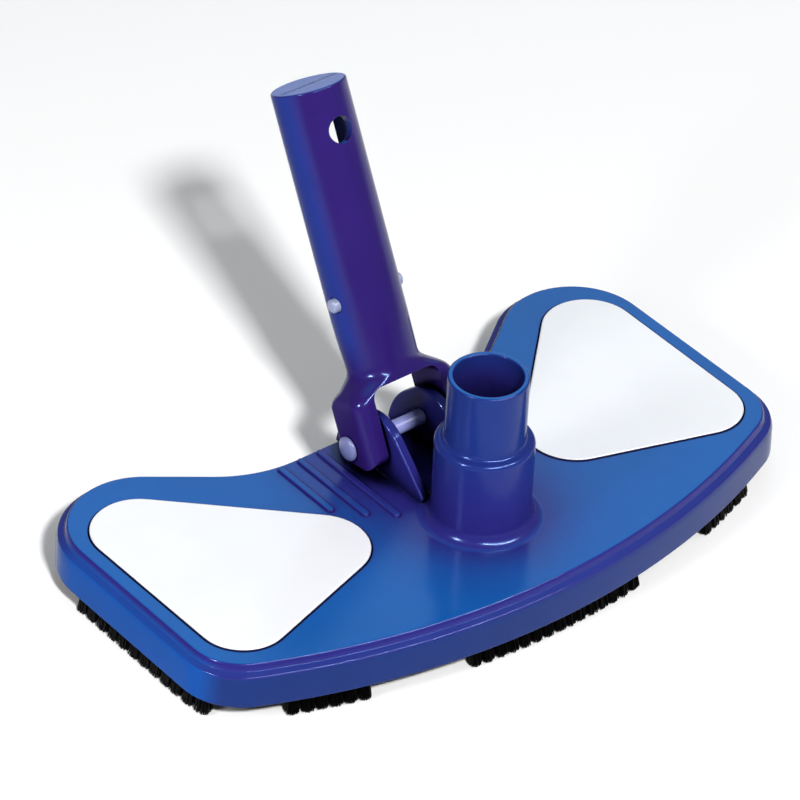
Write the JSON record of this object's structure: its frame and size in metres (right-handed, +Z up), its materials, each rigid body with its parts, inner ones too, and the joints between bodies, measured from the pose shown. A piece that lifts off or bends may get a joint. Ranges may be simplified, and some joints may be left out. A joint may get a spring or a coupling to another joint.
{
  "type": "manual pool vacuum head",
  "caption": "Weighted butterfly-shaped pool vacuum head with an upright hose connector, brush strips under its edge and a pivoting pole handle with snap buttons.",
  "frame": {"origin": "bottom centre of the whole object's bounding box, level with the bristle tips", "axes": "+X to the right along the base's width, +Y to the back on the pole handle's side, +Z up along the hose connector"},
  "size_m": [0.2872, 0.1802, 0.1683],
  "materials": {
    "blue_plastic": "moulded, satin to gloss, deep blue",
    "white_plastic": "moulded, smooth, cool white",
    "black_bristle": "nylon tufts in a dull black strip",
    "cast_iron": "rough casting, hidden"
  },
  "bodies": {
    "base": {"base_shell": "blue_plastic", "weight_cover_left": "white_plastic", "weight_cover_right": "white_plastic", "weight_left": "cast_iron", "weight_right": "cast_iron", "brush_holder_side_left": "black_bristle", "bristles_side_left": "black_bristle", "brush_holder_front_left": "black_bristle", "bristles_front_left": "black_bristle", "brush_holder_front_centre": "black_bristle", "bristles_front_centre": "black_bristle", "brush_holder_front_right": "black_bristle", "bristles_front_right": "black_bristle", "brush_holder_side_right": "black_bristle", "bristles_side_right": "black_bristle"},
    "handle": {"handle": "blue_plastic", "axle_pin": "white_plastic", "axle_cap": "white_plastic", "clip_spring": "white_plastic"},
    "button_left": {"button_left": "white_plastic"},
    "button_right": {"button_right": "white_plastic"}
  },
  "joints": [
    {"name": "handle_pivot", "type": "hinge", "parent": "base", "child": "handle", "pos_m": [0, 0.01306, 0.0362], "axis": [1, 0, 0], "range_deg": [-45, 38]},
    {"name": "button_left_press", "type": "slide", "parent": "handle", "child": "button_left", "axis": [1, 0, 0], "range_m": [0, 0.003], "stiffness_N_per_m": 1500, "deforming": ["clip_spring"]},
    {"name": "button_right_press", "type": "slide", "parent": "handle", "child": "button_right", "axis": [-1, 0, 0], "range_m": [0, 0.003], "stiffness_N_per_m": 1500, "deforming": ["clip_spring"]}
  ]
}
